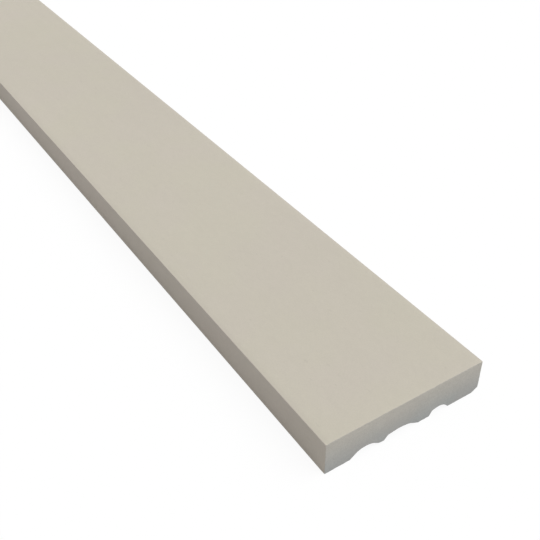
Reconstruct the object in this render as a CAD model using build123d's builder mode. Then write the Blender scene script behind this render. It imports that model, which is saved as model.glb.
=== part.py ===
from build123d import *
import os
from dataclasses import dataclass

# Smooth fibre cement trim board, one piece, with relief scallops run along its back.
# It lies on its back: +X along the board, +Y across it and +Z up through its thickness.
# The origin is the middle of the back plane, and every size is in millimetres.

# Stock size, 12 ft of nominal 1 x 4
board_length = 3657.6
board_width = 88.9
board_thickness = 19.05

# Long edges of the board
face_arris = 0.5  # radius along both edges of the painted face
square_arris = 0.4  # radius along the back edge that is left square
bevel_on_back = 3.6  # how far the bevel of the other back edge reaches across the back
bevel_on_side = 2.3  # and how far it reaches up the side
bevel_arris = 0.4

# Sawn ends
end_easing = 0.3  # chamfer all round each sawn end


@dataclass
class Scallop:
    """One relief scallop in section, drawn from its first lip towards +Y."""

    land_before: float  # land between this scallop and the one before it
    width: float  # from lip to lip
    first_lip: float  # how far each lip stops short of the back plane
    second_lip: float
    wall_run: float  # the wall that climbs from the first lip, across
    wall_top: float  # and the height where the crown takes over from it
    crown_run: float  # from the first lip across to the deepest point
    depth: float  # of that point, from the back plane
    ramp_run: float  # the ramp that falls to the second lip, across
    ramp_top: float  # and the height where it leaves the crown


# Scallops, in the order they lie across the back
scallops_offset = -2.55  # middle of the scalloped band, from the middle of the board
lip_radius = 0.7  # rounds the lands where they turn into a scallop
wall_radius = 1.5  # rounds the inner corner between a wall and its crown
ramp_radius = 5.0  # blends each crown into its ramp

open_scallop = Scallop(
    land_before=0.0,
    width=16.0,
    first_lip=0.0,
    second_lip=0.75,
    wall_run=4.2,
    wall_top=2.95,
    crown_run=8.4,
    depth=3.8,
    ramp_run=3.4,
    ramp_top=2.9,
)
wide_scallop = Scallop(
    land_before=3.1,
    width=19.3,
    first_lip=0.45,
    second_lip=0.0,
    wall_run=1.8,
    wall_top=2.7,
    crown_run=8.7,
    depth=3.5,
    ramp_run=5.2,
    ramp_top=2.75,
)
narrow_scallop = Scallop(
    land_before=7.0,
    width=11.2,
    first_lip=0.0,
    second_lip=0.0,
    wall_run=1.4,
    wall_top=2.75,
    crown_run=5.6,
    depth=3.4,
    ramp_run=2.6,
    ramp_top=2.8,
)
scallops = [open_scallop, wide_scallop, narrow_scallop]


def scallop_line(start, scallop):
    """Draws a scallop whose first lip lies at start, and returns its four corners."""
    first_lip = (start, scallop.first_lip)
    wall_top = (start + scallop.wall_run, scallop.wall_top)
    crown = (start + scallop.crown_run, scallop.depth)
    ramp_top = (start + scallop.width - scallop.ramp_run, scallop.ramp_top)
    second_lip = (start + scallop.width, scallop.second_lip)
    Line(first_lip, wall_top)
    ThreePointArc(wall_top, crown, ramp_top)
    Line(ramp_top, second_lip)
    return first_lip, wall_top, ramp_top, second_lip


# Corners of the section, seen along -X: the back below, the painted face above
half_width = board_width / 2
band_width = sum(s.land_before + s.width for s in scallops)
band_start = scallops_offset - band_width / 2

back_corner = (-half_width, 0)
bevel_start = (half_width - bevel_on_back, 0)
bevel_end = (half_width, bevel_on_side)
face_corners = [(half_width, board_thickness), (-half_width, board_thickness)]

rounded = [
    (back_corner, square_arris),
    (bevel_start, bevel_arris),
    (bevel_end, bevel_arris),
] + [(corner, face_arris) for corner in face_corners]

# The board: its section run the whole length, with every edge of the sawn ends eased
with BuildPart() as trim_board:
    with BuildSketch(Plane.YZ) as section:
        with BuildLine():
            land_start = back_corner
            lip_y = band_start
            for scallop in scallops:
                lip_y += scallop.land_before
                first_lip, wall_top, ramp_top, second_lip = scallop_line(lip_y, scallop)
                Line(land_start, first_lip)
                rounded += [(first_lip, lip_radius), (wall_top, wall_radius)]
                rounded += [(ramp_top, ramp_radius), (second_lip, lip_radius)]
                land_start = second_lip
                lip_y += scallop.width
            Polyline(land_start, bevel_start, bevel_end, *face_corners, back_corner)
        make_face()
        for corner, radius in rounded:
            fillet(section.vertices().sort_by_distance(corner)[0], radius)
    extrude(amount=board_length / 2, both=True)
    sawn_ends = faces().filter_by(Axis.X)
    chamfer(sawn_ends.edges(), end_easing)

trim_board.part.label = "trim_board"

os.makedirs("parts", exist_ok=True)
export_step(trim_board.part, "parts/trim_board.step")
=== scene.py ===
import functools
import math

import bmesh
import bpy
import numpy as np
from mathutils import Euler, Matrix, Vector, noise
from mathutils.geometry import delaunay_2d_cdt


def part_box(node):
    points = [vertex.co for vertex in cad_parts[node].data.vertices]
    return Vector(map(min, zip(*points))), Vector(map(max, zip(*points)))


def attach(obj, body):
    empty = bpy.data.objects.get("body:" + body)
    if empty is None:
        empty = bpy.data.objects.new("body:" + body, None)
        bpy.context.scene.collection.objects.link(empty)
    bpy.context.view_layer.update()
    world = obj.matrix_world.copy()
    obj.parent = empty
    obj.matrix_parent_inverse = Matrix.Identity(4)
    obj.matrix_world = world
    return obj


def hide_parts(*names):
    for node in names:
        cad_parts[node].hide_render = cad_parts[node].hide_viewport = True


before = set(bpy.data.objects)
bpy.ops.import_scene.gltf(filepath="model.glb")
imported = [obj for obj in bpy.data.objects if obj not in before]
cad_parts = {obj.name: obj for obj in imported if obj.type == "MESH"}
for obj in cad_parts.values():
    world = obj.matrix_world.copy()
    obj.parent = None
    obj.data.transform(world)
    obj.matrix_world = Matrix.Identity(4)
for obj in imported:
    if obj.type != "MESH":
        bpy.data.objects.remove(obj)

# The fibre cement trim board of the frame, face up on a pale studio floor.
# Lengths are in metres. +X points to the sawn end that the camera looks at, +Y across.

MM = 0.001
scene = bpy.context.scene
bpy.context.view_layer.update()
board_low, board_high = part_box("trim_board")
LENGTH, WIDTH, THICKNESS = board_high - board_low


def srgb(red, green, blue):
    """The linear colour that shows on a screen as these values from 0 to 255."""
    def linear(value):
        value /= 255
        return value / 12.92 if value <= 0.04045 else ((value + 0.055) / 1.055) ** 2.4
    return (linear(red), linear(green), linear(blue), 1.0)


def smoothstep(low, high, value):
    """0 below low, 1 above high and smooth between."""
    share = min(max((value - low) / (high - low), 0.0), 1.0)
    return share * share * (3 - 2 * share)


def soft_limit(depth, limit):
    """The depth while it is well under the limit, and never more than the limit."""
    return depth / (1 + (depth / limit) ** 4) ** 0.25


SEED_STEP = 17.3  # how far apart the ripples of two seeds are taken from the same noise


def ripple(point, sizes, seed):
    """Smooth noise from -1 to 1 whose bumps have these sizes along x, y and z."""
    at = Vector(p / s for p, s in zip(point, sizes)) + Vector((seed, 0, 0)) * SEED_STEP
    return noise.noise(at)


# Outline of the section

WELD = 0.001 * MM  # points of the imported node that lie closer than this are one
FOLD_SHARE = 0.8  # how much of a small radius its points may be drawn in


def section_outline(node):
    """The node's outline in section as points (y, z) in order, with the inside on the left.

    The long sides of the node stop at one ring of points near each sawn end.
    """
    mesh = bmesh.new()
    mesh.from_mesh(node.data)
    bmesh.ops.remove_doubles(mesh, verts=mesh.verts, dist=WELD)
    long_edges = [e for e in mesh.edges if e.calc_length() > LENGTH / 2]
    ring = {v for e in long_edges for v in e.verts if v.co.x > 0}
    start = min(ring, key=lambda v: (v.co.z, v.co.y))
    points = [start]
    while True:
        around = {e.other_vert(points[-1]) for e in points[-1].link_edges}
        ahead = [v for v in around if v in ring and v not in points]
        if not ahead:
            break
        points.append(max(ahead, key=lambda v: v.co.y) if len(points) == 1 else ahead[0])
    outline = [Vector((v.co.y, v.co.z)) for v in points]
    mesh.free()
    return outline


def subdivided(points, spacing):
    """A closed line of points with more of them added, none farther apart than spacing."""
    fine = []
    for here, there in zip(points, points[1:] + points[:1]):
        steps = math.ceil((there - here).length / spacing)
        fine += [here.lerp(there, i / steps) for i in range(steps)]
    return fine


def outward_normals(points):
    """For each point of a closed line, the way out of what lies on its left."""
    normals = []
    for i, here in enumerate(points):
        along = (here - points[i - 1]).normalized()
        along += (points[(i + 1) % len(points)] - here).normalized()
        normals.append(Vector((along.y, -along.x)).normalized())
    return normals


def rooms(points, normals):
    """For each point of a closed line, how far in it can be drawn before the line folds."""
    limits = []
    for i, here in enumerate(points):
        after = (i + 1) % len(points)
        along = (points[after] - here).normalized()
        # Where the line is straight or hollow, its points don't close up as they are drawn in
        closing = max((normals[after] - normals[i]).dot(along), 0.01)
        limits.append((points[after] - here).length / closing)
    return [FOLD_SHARE * min(limits[i - 1], limits[i]) for i in range(len(points))]


def shares_round(points):
    """How far round a closed line each point lies, from 0, and 1 for the first point again."""
    steps = [(there - here).length for here, there in zip(points, points[1:] + points[:1])]
    travelled = np.concatenate(([0.0], np.cumsum(steps)))
    return [float(distance) for distance in travelled / travelled[-1]]


# Fine relief of the board, as depths under its plain surface

ROLL_WIDTH = 2.4 * MM  # strip along each long edge where the face rolls off
ROLL_DEPTH = 0.3 * MM
CRUMBLE_WIDTH = 2.5 * MM  # strip along each saw cut where the surface has crumbled
CRUMBLE_FULL = 0.2 * MM  # and how much of it is crumbled to the full depth
CRUMBLE_DEPTH = 0.10 * MM
FELT_DEPTH = 0.05 * MM  # print of the felt on which the back was formed
WAVE_DEPTH = 0.04 * MM  # slow waves in the face, the long edges and the back
SAW_LEAN = 0.25  # how far the saw marks lean to -Y, for 1 of height
SAW_WAVE = 1.9 * MM  # there is one saw mark to every 2 pi of these
SAW_WANDER = 2.5  # how far a saw mark strays to the side, counted in SAW_WAVE
SAW_DEPTH = 0.015 * MM
LAYER_DEPTH = 0.015 * MM  # of the layers that show on a sawn end
GRAIN_DEPTH = 0.05 * MM  # and of its grain
COATED_STRIP = 1.2 * MM  # strip along each long edge where the lower half is coated too
COAT_FRAY = 0.25 * MM  # strip along each saw cut where the coat breaks off


def side_relief(point, normal):
    """How far the face, the long edges and the back lie under the plain section.

    normal is the way out of the section at the point, along y and z.
    """
    to_edge = WIDTH / 2 - abs(point.y)
    rolled = ROLL_DEPTH * max(1 - to_edge / ROLL_WIDTH, 0) * max(normal.y, 0)
    near_end = 1 - smoothstep(CRUMBLE_FULL, CRUMBLE_WIDTH, LENGTH / 2 - abs(point.x))
    crumbled = CRUMBLE_DEPTH * near_end * (0.5 + ripple(point, (1.5 * MM,) * 3, 1))
    on_back = smoothstep(0.3, 0.8, -normal.y)
    felt = FELT_DEPTH * on_back * (0.5 + ripple(point, (5 * MM, 3 * MM, 3 * MM), 2))
    wavy = WAVE_DEPTH * (0.5 + ripple(point, (90 * MM, 25 * MM, 25 * MM), 3))
    return max(rolled + crumbled + felt + wavy, 0.0)


def end_relief(point):
    """How far a sawn end lies under its plain face: saw marks, layers and grain."""
    across = point.y + SAW_LEAN * point.z
    wander = SAW_WANDER * ripple(point, (30 * MM,) * 3, 4)
    saw = 0.5 + 0.5 * math.sin(across / SAW_WAVE + wander)
    layer = 0.5 + ripple(point, (9 * MM, 9 * MM, 0.9 * MM), 5)
    grain = 0.5 + ripple(point, (1.2 * MM,) * 3, 6)
    return SAW_DEPTH * saw + LAYER_DEPTH * max(layer, 0) + GRAIN_DEPTH * max(grain, 0)


def finished(point, normal):
    """1 where the board is coated at the factory, and 0 where its cement is bare.

    normal is the way out of the section at the point, along y and z.
    """
    not_under = smoothstep(-0.75, -0.4, normal.y)
    outside = abs(point.y) > WIDTH / 2 - COATED_STRIP or point.z > THICKNESS / 2
    from_end = smoothstep(0.0, COAT_FRAY, LENGTH / 2 - abs(point.x))
    return not_under * outside * from_end


# Map of the board's surface: half of the long sides below, the other half
# above it, and the two sawn ends side by side at the top

MAP_NAME = "OFBake"
MAP_MARGIN = 0.005  # left free at both sides of the map and under it
MAP_REACH = 300 * MM  # distance from a sawn end at which the map's scale has halved
MAP_LOW = {1: MAP_MARGIN, -1: 0.455}  # where each half of the long sides starts, by its end
MAP_HEIGHT = 0.425
MAP_END_MIDDLE = {1: 0.25, -1: 0.75}  # where each sawn end has its middle
MAP_END_WIDTH = 0.48
MAP_END_LOW = 0.895
MAP_END_HEIGHT = 0.10

# Spacing of the mesh

RING_SPACING = 0.75 * MM  # between points round the section
FIRST_STEP = 0.4 * MM  # between sections next to a sawn end
STEP_GROWTH = 1.15
LAST_STEP = 30 * MM  # between sections in the middle of the board
END_ROUNDING = 0.3 * MM  # radius that the saw and handling leave on an end's edges
END_ROUNDING_STEPS = 4
END_GRID = 0.55 * MM  # between points inside a sawn end
END_MARGIN = END_GRID * 0.6  # and how far they keep from its rim


def along_map(x, side):
    """How far across the map x lies, on the half of the board that ends at side."""
    longest = LENGTH / 2 + LAST_STEP
    distance = LENGTH / 2 - side * x
    map_width = 1 - 2 * MAP_MARGIN
    share = map_width * math.log1p(distance / MAP_REACH) / math.log1p(longest / MAP_REACH)
    return MAP_MARGIN + share


def end_on_map(point, side):
    """Where on the map a point of the sawn end at side lies."""
    across = MAP_END_MIDDLE[side] + MAP_END_WIDTH * point.y / WIDTH
    return across, MAP_END_LOW + MAP_END_HEIGHT * point.z / THICKNESS


def stations():
    """(x, inset) of each section of the mesh, from the far end to the near one.

    inset is how far the section is drawn in where an end's edges are rounded.
    """
    half = []
    for i in range(END_ROUNDING_STEPS + 1):
        turn = math.pi / 2 * i / END_ROUNDING_STEPS
        half.append((END_ROUNDING * (1 - math.cos(turn)), END_ROUNDING * (1 - math.sin(turn))))
    step = FIRST_STEP
    while half[-1][0] + step < LENGTH / 2:
        half.append((half[-1][0] + step, 0.0))
        step = min(step * STEP_GROWTH, LAST_STEP)
    near = [(LENGTH / 2 - depth, inset) for depth, inset in half]
    return [(-x, inset) for x, inset in near] + near[::-1]


def inside_grid(outline, spacing, margin):
    """Points of a staggered grid that lie inside a closed line, at least margin from it."""
    line = np.array(outline)
    ends = np.roll(line, -1, axis=0)
    low, high = line.min(axis=0), line.max(axis=0)
    found = []
    row_spacing = spacing * math.sqrt(0.75)
    for number, z in enumerate(np.arange(low[1] + spacing, high[1], row_spacing)):
        crossed = (line[:, 1] > z) != (ends[:, 1] > z)
        here, there = line[crossed], ends[crossed]
        share = (z - here[:, 1]) / (there[:, 1] - here[:, 1])
        crossings = np.sort(here[:, 0] + share * (there[:, 0] - here[:, 0]))
        for y in np.arange(low[0] + spacing * (number % 2) / 2, high[0], spacing):
            if np.searchsorted(crossings, y) % 2 and np.hypot(*(line - (y, z)).T).min() > margin:
                found.append(Vector((y, z)))
    return found


def add_face(mesh, corners, places):
    """Adds a face whose corners lie at these places on the map."""
    on_map = mesh.loops.layers.uv[MAP_NAME]
    for loop, place in zip(mesh.faces.new(corners).loops, places):
        loop[on_map].uv = place


def add_sides(mesh, ring):
    """Adds the face, the long edges and the back. Returns their first and last ring."""
    finish = mesh.verts.layers.float.new("finish")
    normals = outward_normals(ring)
    limits = rooms(ring, normals)
    shares = shares_round(ring)
    rings = []
    for x, inset in stations():
        # On the rounded edges, the relief of the sawn end fades in towards the very end
        sawn = max(1 - (LENGTH / 2 - abs(x)) / END_ROUNDING, 0)
        row = []
        for flat, normal, room in zip(ring, normals, limits):
            point = Vector((x, *flat))
            drawn = flat - normal * soft_limit(inset + side_relief(point, normal), room)
            sawn_x = x - math.copysign(sawn * end_relief(point), x)
            vert = mesh.verts.new((sawn_x, *drawn))
            vert[finish] = finished(point, normal)
            row.append(vert)
        rings.append(row)
    for row, row_after in zip(rings, rings[1:]):
        side = 1 if row[0].co.x + row_after[0].co.x > 0 else -1
        here, there = (along_map(r[0].co.x, side) for r in (row, row_after))
        heights = [MAP_LOW[side] + MAP_HEIGHT * share for share in shares]
        for i in range(len(ring)):
            after = (i + 1) % len(ring)
            corners = (row[i], row[after], row_after[after], row_after[i])
            low, high = heights[i], heights[i + 1]
            add_face(mesh, corners, ((here, low), (here, high), (there, high), (there, low)))
    return rings[0], rings[-1]


def add_end(mesh, rim, side):
    """Closes a ring of the long sides with a sawn end, at side of the board."""
    line = [Vector((vert.co.y, vert.co.z)) for vert in rim]
    inside = inside_grid(line, END_GRID, END_MARGIN)
    verts = list(rim)
    for place in inside:
        point = Vector((side * LENGTH / 2, *place))
        point.x -= side * end_relief(point)
        verts.append(mesh.verts.new(point))
    bound = list(range(len(line)))
    inside_only = 1  # the kind of output that has no triangles outside the bound
    _, _, triangles, sources, _, _ = delaunay_2d_cdt(line + inside, [], [bound], inside_only, 0.0)
    for triangle in triangles:
        corners = [verts[sources[corner][0]] for corner in triangle[::side]]
        add_face(mesh, corners, [end_on_map(vert.co, side) for vert in corners])


def board_mesh(name, outline):
    """The board as one closed mesh: long sides in rings, and a fine grid on each end."""
    mesh = bmesh.new()
    mesh.loops.layers.uv.new(MAP_NAME)
    far_rim, near_rim = add_sides(mesh, subdivided(outline, RING_SPACING))
    add_end(mesh, far_rim, -1)
    add_end(mesh, near_rim, 1)
    data = bpy.data.meshes.new(name)
    mesh.to_mesh(data)
    mesh.free()
    data.shade_smooth()
    return data


# Materials

class Nodes:
    """Adds and links the nodes of a material or of the world."""

    def __init__(self, owner):
        owner.use_nodes = True
        self.tree = owner.node_tree
        self.tree.nodes.clear()

    @functools.cached_property
    def place(self):
        """The place on the object, in metres."""
        return self.add("ShaderNodeTexCoord").outputs["Object"]

    def place_along(self, axis):
        """The place on the object along one axis, in metres."""
        return self.add("ShaderNodeSeparateXYZ", Vector=self.place).outputs[axis]

    def add(self, kind, settings=None, **inputs):
        """A node with its properties and its inputs, which are values or outputs."""
        node = self.tree.nodes.new(kind)
        for name, value in (settings or {}).items():
            setattr(node, name, value)
        for name, value in inputs.items():
            self.feed(node.inputs[name.replace("_", " ")], value)
        return node

    def feed(self, socket, value):
        """Gives an input a value, or links an output to it."""
        if isinstance(value, bpy.types.NodeSocket):
            self.tree.links.new(value, socket)
        else:
            socket.default_value = value

    def math(self, operation, *values):
        """The result of a sum on values or outputs."""
        node = self.add("ShaderNodeMath", {"operation": operation})
        for socket, value in zip(node.inputs, values):
            self.feed(socket, value)
        return node.outputs["Value"]

    def product(self, *values):
        """Values or outputs multiplied together."""
        return functools.reduce(lambda one, other: self.math("MULTIPLY", one, other), values)

    def spread(self, value, low, high, to_low=0.0, to_high=1.0):
        """A value from low to high brought smoothly to the range from to_low to to_high."""
        node = self.add("ShaderNodeMapRange", {"interpolation_type": "SMOOTHSTEP"})
        wanted = (value, low, high, to_low, to_high)
        for socket, number in zip(node.inputs, wanted):
            self.feed(socket, number)
        return node.outputs["Result"]

    def scaled_place(self, sizes):
        """The place on the object, counted in these sizes along x, y and z."""
        node = self.add("ShaderNodeVectorMath", {"operation": "DIVIDE"})
        self.feed(node.inputs[0], self.place)
        self.feed(node.inputs[1], sizes)
        return node.outputs["Vector"]

    def cloud(self, sizes, detail, seed):
        """Noise around 0.5 whose patches have these sizes along x, y and z."""
        settings = {"noise_dimensions": "4D"}
        node = self.add("ShaderNodeTexNoise", settings, Vector=self.scaled_place(sizes),
                        W=seed, Scale=1.0, Detail=detail)
        return node.outputs["Fac"]

    def tint(self, strength, sizes, detail, seed):
        """A factor that strays from 1 by up to strength, in patches of these sizes."""
        return self.spread(self.cloud(sizes, detail, seed), 0.25, 0.75, 1 - strength, 1 + strength)

    def mix(self, share, first, second):
        """The first colour where share is 0, and the second where it is 1."""
        node = self.add("ShaderNodeMix", {"data_type": "RGBA"})
        # The node has sockets for each type of data, and these are the ones for colours
        self.feed(node.inputs[0], share)
        self.feed(node.inputs[6], first)
        self.feed(node.inputs[7], second)
        return node.outputs[2]

    def shade(self, colour, factor):
        """A colour made lighter or darker by a factor."""
        node = self.add("ShaderNodeVectorMath", {"operation": "SCALE"})
        self.feed(node.inputs[0], colour)
        self.feed(node.inputs["Scale"], factor)
        return node.outputs["Vector"]


FACE_COAT = (srgb(202, 195, 182), srgb(202, 196, 181))  # the coat strays between the two
EDGE_COAT = (srgb(203, 194, 183), srgb(202, 194, 182))  # and on the long edges, a hair redder
BARE_CEMENT = (srgb(175, 175, 172), srgb(172, 175, 173))
COAT_SPRAY_AND_PAINTED_LIGHT = srgb(197, 192, 182)  # spray of the coat, with cement dust, on the sawn ends, and painted shade: each end is lighter at the top and darker towards the bottom
COAT_SPRAY_AND_PAINTED_LIGHT_SHARE = 0.9  # how much of it there is at the top of a sawn end
PEEL_DEPTH = 0.03 * MM  # of the dimples in the coat
PORE_DEPTH = 0.12 * MM  # of the grain and the pores in the cement


def coat_look(nodes):
    """(colour, roughness, height) of the factory coat: even and matt, faintly mottled."""
    clouds = nodes.tint(0.010, (150 * MM, 60 * MM, 60 * MM), detail=2, seed=1)
    strokes = nodes.tint(0.004, (220 * MM, 5 * MM, 5 * MM), detail=2, seed=2)
    mottle = nodes.tint(0.010, (3.5 * MM, 2.5 * MM, 2.5 * MM), detail=2, seed=3)
    grain = nodes.tint(0.02, (0.7 * MM,) * 3, detail=1, seed=4)
    smudge_cloud = nodes.cloud((6 * MM, 2.5 * MM, 2.5 * MM), detail=3, seed=5)
    smudges = nodes.spread(smudge_cloud, 0.66, 0.74, 1.0, 0.95)
    factor = nodes.product(clouds, strokes, mottle, grain, smudges)
    warmth = nodes.spread(nodes.cloud((45 * MM,) * 3, detail=2, seed=6), 0.35, 0.65)
    # A redder colour takes over where the face turns down to the long edges
    from_middle = nodes.math("ABSOLUTE", nodes.place_along("Y"))
    on_edge = nodes.spread(from_middle, WIDTH / 2 - 0.8 * MM, WIDTH / 2 - 0.2 * MM)
    base = nodes.mix(on_edge, nodes.mix(warmth, *FACE_COAT), nodes.mix(warmth, *EDGE_COAT))
    patches = nodes.cloud((12 * MM,) * 3, detail=2, seed=7)
    roughness = nodes.spread(patches, 0.3, 0.7, 0.82, 0.90)
    peel = nodes.cloud((1.4 * MM,) * 3, detail=2, seed=8)
    return nodes.shade(base, factor), roughness, peel


def cement_look(nodes):
    """(colour, roughness, height) of bare fibre cement: layers, grains, pores and fibres."""
    clouds = nodes.tint(0.02, (11 * MM,) * 3, detail=3, seed=11)
    layers = nodes.tint(0.02, (14 * MM, 14 * MM, 0.8 * MM), detail=2, seed=12)
    grain = nodes.tint(0.07, (0.5 * MM,) * 3, detail=2, seed=13)
    fibre_cloud = nodes.cloud((3.2 * MM, 3.2 * MM, 0.16 * MM), detail=1, seed=14)
    fibres = nodes.spread(fibre_cloud, 0.66, 0.74, 1.0, 1.08)
    cells = nodes.add("ShaderNodeTexVoronoi", Vector=nodes.scaled_place((1.3 * MM,) * 3),
                      Scale=1.0)
    pores = nodes.spread(cells.outputs["Distance"], 0.05, 0.16, 0.82, 1.0)
    factor = nodes.product(clouds, layers, grain, fibres, pores)
    dust = nodes.spread(nodes.cloud((18 * MM,) * 3, detail=2, seed=15), 0.35, 0.65)
    # Partly spray of the coat and partly painted shade: a sawn end is lighter at the top and
    # darker towards the bottom
    spray_and_painted_light = nodes.spread(nodes.place_along("Z"), 0.0, THICKNESS, 0.0, COAT_SPRAY_AND_PAINTED_LIGHT_SHARE)
    base = nodes.mix(spray_and_painted_light, nodes.mix(dust, *BARE_CEMENT), COAT_SPRAY_AND_PAINTED_LIGHT)
    roughness = nodes.spread(grain, 0.95, 1.05, 0.82, 0.92)
    height = nodes.math("ADD", grain, pores)
    return nodes.shade(base, factor), roughness, height


def board_material():
    """One material for the board, coated where its finish attribute says and bare elsewhere."""
    material = bpy.data.materials.new("coated_fibre_cement")
    nodes = Nodes(material)
    coat, coat_roughness, coat_height = coat_look(nodes)
    cement, cement_roughness, cement_height = cement_look(nodes)
    finish = nodes.add("ShaderNodeAttribute", {"attribute_name": "finish"}).outputs["Fac"]
    # Noise makes the line where the coat stops a ragged one
    ragged = nodes.math("SUBTRACT", nodes.cloud((0.6 * MM,) * 3, detail=2, seed=21), 0.5)
    coated = nodes.spread(nodes.math("ADD", finish, ragged), 0.42, 0.58)
    bare = nodes.math("SUBTRACT", 1.0, coated)
    roughness = nodes.math("ADD", nodes.product(coated, coat_roughness),
                           nodes.product(bare, cement_roughness))
    peel = nodes.add("ShaderNodeBump", Height=coat_height, Strength=coated, Distance=PEEL_DEPTH)
    grain = nodes.add("ShaderNodeBump", Height=cement_height, Strength=bare,
                      Distance=PORE_DEPTH, Normal=peel.outputs["Normal"])
    surface = nodes.add("ShaderNodeBsdfPrincipled", Base_Color=nodes.mix(coated, cement, coat),
                        Roughness=roughness, Normal=grain.outputs["Normal"])
    nodes.add("ShaderNodeOutputMaterial", Surface=surface.outputs["BSDF"])
    return material


def make_board():
    """The detailed board, in the place of the plain node."""
    outline = section_outline(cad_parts["trim_board"])
    board = bpy.data.objects.new("fibre_cement_board", board_mesh("fibre_cement_board", outline))
    scene.collection.objects.link(board)
    board.data.materials.append(board_material())
    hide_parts("trim_board")
    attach(board, "root")


# Studio

FLOOR_SIZE = 40.0  # from side to side
FLOOR_GAP = 0.02 * MM  # under the board
FLOOR_WHITE = 0.6  # share of the light falling on the floor that it sends back
FLOOR_VEIL = 0.85  # share of plain white laid over the floor where a ray sees it directly
VEIL_LEVEL = 1.08  # brightness of that white, where 1 is the picture's white
SKY_LEVEL = 0.47  # light from all round, of the 1 that makes colours render as written
KEY_LEVEL = 0.46  # light of the key lamp on a level surface
KEY_LEAN = (0.43, 0.50)  # how far the key lamp leans to +X and +Y, for 1 of height
KEY_SOFTNESS = math.radians(55)  # how wide the key lamp looks from the board


def seen_directly(nodes):
    """1 for a ray from the camera, or one that comes by way of a mirror or glass."""
    rays = nodes.add("ShaderNodeLightPath").outputs
    seen = nodes.math("MAXIMUM", rays["Is Camera Ray"], rays["Is Glossy Ray"])
    return nodes.math("MAXIMUM", seen, rays["Is Transmission Ray"])


def floor_material():
    """Plain white where a ray sees it directly, with the shadows on it showing through."""
    material = bpy.data.materials.new("studio_floor")
    nodes = Nodes(material)
    diffuse = nodes.add("ShaderNodeBsdfDiffuse", Color=(FLOOR_WHITE,) * 3 + (1.0,))
    white = nodes.add("ShaderNodeEmission", Strength=VEIL_LEVEL)
    veil = nodes.product(seen_directly(nodes), FLOOR_VEIL)
    mixed = nodes.add("ShaderNodeMixShader", Fac=veil)
    nodes.feed(mixed.inputs[1], diffuse.outputs["BSDF"])
    nodes.feed(mixed.inputs[2], white.outputs["Emission"])
    nodes.add("ShaderNodeOutputMaterial", Surface=mixed.outputs["Shader"])
    return material


def make_floor():
    """A plain white floor that still shows the board's shadow, faintly."""
    mesh = bmesh.new()
    bmesh.ops.create_grid(mesh, x_segments=1, y_segments=1, size=FLOOR_SIZE / 2)
    data = bpy.data.meshes.new("floor")
    mesh.to_mesh(data)
    mesh.free()
    data.materials.append(floor_material())
    floor = bpy.data.objects.new("floor", data)
    floor.location.z = board_low.z - FLOOR_GAP
    scene.collection.objects.link(floor)


def make_sky():
    """White light from all round, and plain white where a ray sees it directly."""
    scene.world = bpy.data.worlds.new("studio_sky")
    nodes = Nodes(scene.world)
    level = nodes.spread(seen_directly(nodes), 0.0, 1.0, SKY_LEVEL, 1.0)
    sky = nodes.add("ShaderNodeBackground", Color=(1.0, 1.0, 1.0, 1.0), Strength=level)
    nodes.add("ShaderNodeOutputWorld", Surface=sky.outputs["Background"])


def make_key_lamp():
    """One wide and soft lamp, high over the board."""
    towards_key = Vector((*KEY_LEAN, 1.0)).normalized()
    lamp = bpy.data.lights.new("key_lamp", "SUN")
    lamp.energy = KEY_LEVEL * math.pi / towards_key.z
    lamp.angle = KEY_SOFTNESS
    key = bpy.data.objects.new("key_lamp", lamp)
    key.rotation_euler = towards_key.to_track_quat("Z", "Y").to_euler()
    scene.collection.objects.link(key)


# Camera, placed from the near end's top corner on the square edge

CAMERA_BACK = 167.2 * MM  # from that corner to +X
CAMERA_LEFT = 133.0 * MM  # and to -Y
CAMERA_UP = 256.8 * MM
CAMERA_AZIMUTH = 32.58  # degrees that it looks to +Y of the board's length
CAMERA_ELEVATION = 37.91  # and that it looks down
CAMERA_ROLL = 0.65  # and that it is turned clockwise
CAMERA_LENS = 53.02  # in mm, as Blender has it
CAMERA_SENSOR = 36.0


def make_camera():
    """The camera, which looks down along the board from beyond its near end."""
    lens = bpy.data.cameras.new("camera")
    lens.lens = CAMERA_LENS
    lens.sensor_width = CAMERA_SENSOR
    lens.clip_start = 0.01
    lens.clip_end = 100.0
    camera = bpy.data.objects.new("camera", lens)
    corner = Vector((board_high.x, board_low.y, board_high.z))
    camera.location = corner + Vector((CAMERA_BACK, -CAMERA_LEFT, CAMERA_UP))
    pitch, yaw = math.radians(90 - CAMERA_ELEVATION), math.radians(90 - CAMERA_AZIMUTH)
    level = Euler((pitch, 0.0, yaw)).to_matrix()
    turned = level @ Matrix.Rotation(-math.radians(CAMERA_ROLL), 3, "Z")
    camera.rotation_euler = turned.to_euler()
    scene.collection.objects.link(camera)
    scene.camera = camera


make_camera()
make_board()
make_floor()
make_sky()
make_key_lamp()

scene.view_settings.view_transform = "Standard"
